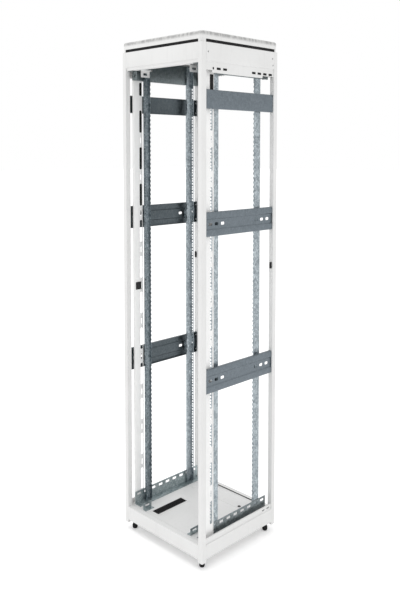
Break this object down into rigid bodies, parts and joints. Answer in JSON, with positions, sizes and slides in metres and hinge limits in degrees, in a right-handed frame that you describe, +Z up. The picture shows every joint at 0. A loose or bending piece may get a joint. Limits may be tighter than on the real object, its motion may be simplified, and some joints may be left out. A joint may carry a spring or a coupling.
{
  "type": "network server rack cabinet",
  "caption": "Tall open-frame server rack with painted corner posts, zinc side rails and uprights, brush entry floor, vented roof and levelling feet.",
  "frame": {"origin": "on the floor under the middle of the rack, at the underside of the feet", "axes": "+Z up; the front of the rack faces -Y; +X is the rack's right side"},
  "size_m": [0.56, 0.53, 2.48],
  "materials": {
    "painted_steel": "fine-textured light grey powder coat",
    "zinc_steel": "galvanised sheet with a soft blue-grey spangle",
    "blacked_steel": "black oxide thread",
    "black_plastic": "satin moulded black",
    "bristle": "matt black nylon bristle"
  },
  "bodies": {
    "root": {"corner_post_front_left": "painted_steel", "corner_post_front_right": "painted_steel", "corner_post_rear_left": "painted_steel", "corner_post_rear_right": "painted_steel", "top_rail_front": "painted_steel", "top_rail_rear": "painted_steel", "top_rail_left": "painted_steel", "top_rail_right": "painted_steel", "base_skirt_front": "painted_steel", "base_skirt_rear": "painted_steel", "base_skirt_left": "painted_steel", "base_skirt_right": "painted_steel", "floor_panel_front": "painted_steel", "floor_panel_rear": "painted_steel", "brush_frame": "painted_steel", "brush_row_left": "bristle", "brush_row_right": "bristle", "roof_cover": "painted_steel", "roof_deck": "zinc_steel", "roof_vent_strip": "black_plastic", "slotted_panel_front_left": "painted_steel", "top_depth_rail_left": "zinc_steel", "base_depth_rail_left": "zinc_steel", "side_rail_upper_left": "zinc_steel", "side_rail_middle_left": "zinc_steel", "side_rail_lower_left": "zinc_steel", "latch_keeper_front_left": "black_plastic", "latch_keeper_rear_left": "black_plastic", "slotted_panel_front_right": "painted_steel", "top_depth_rail_right": "zinc_steel", "base_depth_rail_right": "zinc_steel", "side_rail_upper_right": "zinc_steel", "side_rail_middle_right": "zinc_steel", "side_rail_lower_right": "zinc_steel", "latch_keeper_front_right": "black_plastic", "latch_keeper_rear_right": "black_plastic", "foot_nut_front_left": "zinc_steel", "foot_nut_front_right": "zinc_steel", "foot_nut_rear_left": "zinc_steel", "foot_nut_rear_right": "zinc_steel"},
    "upright_front_left": {"upright_front_left": "zinc_steel", "upright_bracket_middle_front_left": "zinc_steel", "upright_bracket_lower_front_left": "zinc_steel"},
    "upright_front_right": {"upright_front_right": "zinc_steel", "upright_bracket_middle_front_right": "zinc_steel", "upright_bracket_lower_front_right": "zinc_steel"},
    "upright_rear_left": {"upright_rear_left": "zinc_steel", "upright_bracket_middle_rear_left": "zinc_steel", "upright_bracket_lower_rear_left": "zinc_steel"},
    "upright_rear_right": {"upright_rear_right": "zinc_steel", "upright_bracket_middle_rear_right": "zinc_steel", "upright_bracket_lower_rear_right": "zinc_steel"},
    "foot_pad_front_left": {"foot_pad_front_left": "black_plastic"},
    "foot_stem_front_left": {"foot_stem_front_left": "blacked_steel"},
    "foot_pad_front_right": {"foot_pad_front_right": "black_plastic"},
    "foot_stem_front_right": {"foot_stem_front_right": "blacked_steel"},
    "foot_pad_rear_left": {"foot_pad_rear_left": "black_plastic"},
    "foot_stem_rear_left": {"foot_stem_rear_left": "blacked_steel"},
    "foot_pad_rear_right": {"foot_pad_rear_right": "black_plastic"},
    "foot_stem_rear_right": {"foot_stem_rear_right": "blacked_steel"}
  },
  "joints": [
    {"name": "upright_front_left_depth", "type": "slide", "parent": "root", "child": "upright_front_left", "axis": [0, 1, 0], "range_m": [-0.02, 0.02]},
    {"name": "upright_front_right_depth", "type": "slide", "parent": "root", "child": "upright_front_right", "axis": [0, 1, 0], "range_m": [-0.02, 0.02]},
    {"name": "upright_rear_left_depth", "type": "slide", "parent": "root", "child": "upright_rear_left", "axis": [0, 1, 0], "range_m": [-0.02, 0.02]},
    {"name": "upright_rear_right_depth", "type": "slide", "parent": "root", "child": "upright_rear_right", "axis": [0, 1, 0], "range_m": [-0.02, 0.02]},
    {"name": "foot_front_left_extend", "type": "slide", "parent": "root", "child": "foot_pad_front_left", "axis": [0, 0, -1], "range_m": [0, 0.02]},
    {"name": "foot_front_left_screw", "type": "hinge", "parent": "foot_pad_front_left", "child": "foot_stem_front_left", "pos_m": [-0.244, -0.229, 0.05], "axis": [0, 0, 1], "range_deg": [0, 4115.29]},
    {"name": "foot_front_right_extend", "type": "slide", "parent": "root", "child": "foot_pad_front_right", "axis": [0, 0, -1], "range_m": [0, 0.02]},
    {"name": "foot_front_right_screw", "type": "hinge", "parent": "foot_pad_front_right", "child": "foot_stem_front_right", "pos_m": [0.244, -0.229, 0.05], "axis": [0, 0, 1], "range_deg": [0, 4115.29]},
    {"name": "foot_rear_left_extend", "type": "slide", "parent": "root", "child": "foot_pad_rear_left", "axis": [0, 0, -1], "range_m": [0, 0.02]},
    {"name": "foot_rear_left_screw", "type": "hinge", "parent": "foot_pad_rear_left", "child": "foot_stem_rear_left", "pos_m": [-0.244, 0.229, 0.05], "axis": [0, 0, 1], "range_deg": [0, 4115.29]},
    {"name": "foot_rear_right_extend", "type": "slide", "parent": "root", "child": "foot_pad_rear_right", "axis": [0, 0, -1], "range_m": [0, 0.02]},
    {"name": "foot_rear_right_screw", "type": "hinge", "parent": "foot_pad_rear_right", "child": "foot_stem_rear_right", "pos_m": [0.244, 0.229, 0.05], "axis": [0, 0, 1], "range_deg": [0, 4115.29]}
  ],
  "couplings": [
    {"joint": "foot_front_left_screw", "follows": "foot_front_left_extend", "rad_per_m": 3590.4},
    {"joint": "foot_front_right_screw", "follows": "foot_front_right_extend", "rad_per_m": 3590.4},
    {"joint": "foot_rear_left_screw", "follows": "foot_rear_left_extend", "rad_per_m": 3590.4},
    {"joint": "foot_rear_right_screw", "follows": "foot_rear_right_extend", "rad_per_m": 3590.4}
  ]
}
